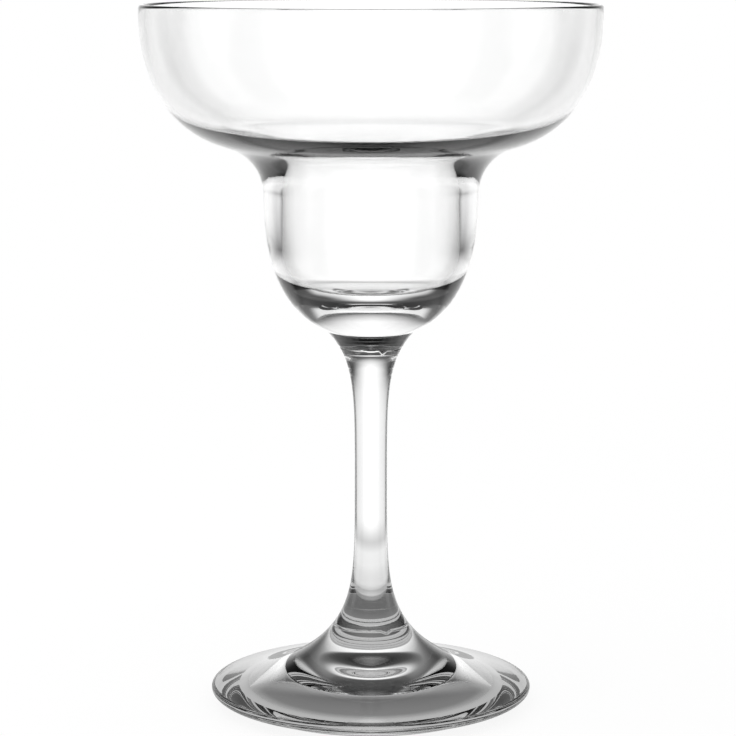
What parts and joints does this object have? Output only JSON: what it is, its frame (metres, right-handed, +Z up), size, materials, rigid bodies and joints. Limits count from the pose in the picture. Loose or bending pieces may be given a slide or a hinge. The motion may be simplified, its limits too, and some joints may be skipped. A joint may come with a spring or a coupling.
{
  "type": "margarita glass",
  "caption": "Stemmed cocktail glass with a wide shallow basin over a narrow round-bottomed well, a slim flared stem and a round foot.",
  "frame": {"origin": "centre of the foot, on the surface that the glass stands on", "axes": "+Z up along the glass's axis, from the foot to the rim; +X to the right and +Y away, seen from the picture's side"},
  "size_m": [0.11, 0.11, 0.17],
  "materials": {
    "clear_glass": "fire-polished, clear, smooth"
  },
  "bodies": {
    "root": {"bowl": "clear_glass", "stem": "clear_glass", "foot": "clear_glass"}
  },
  "joints": []
}
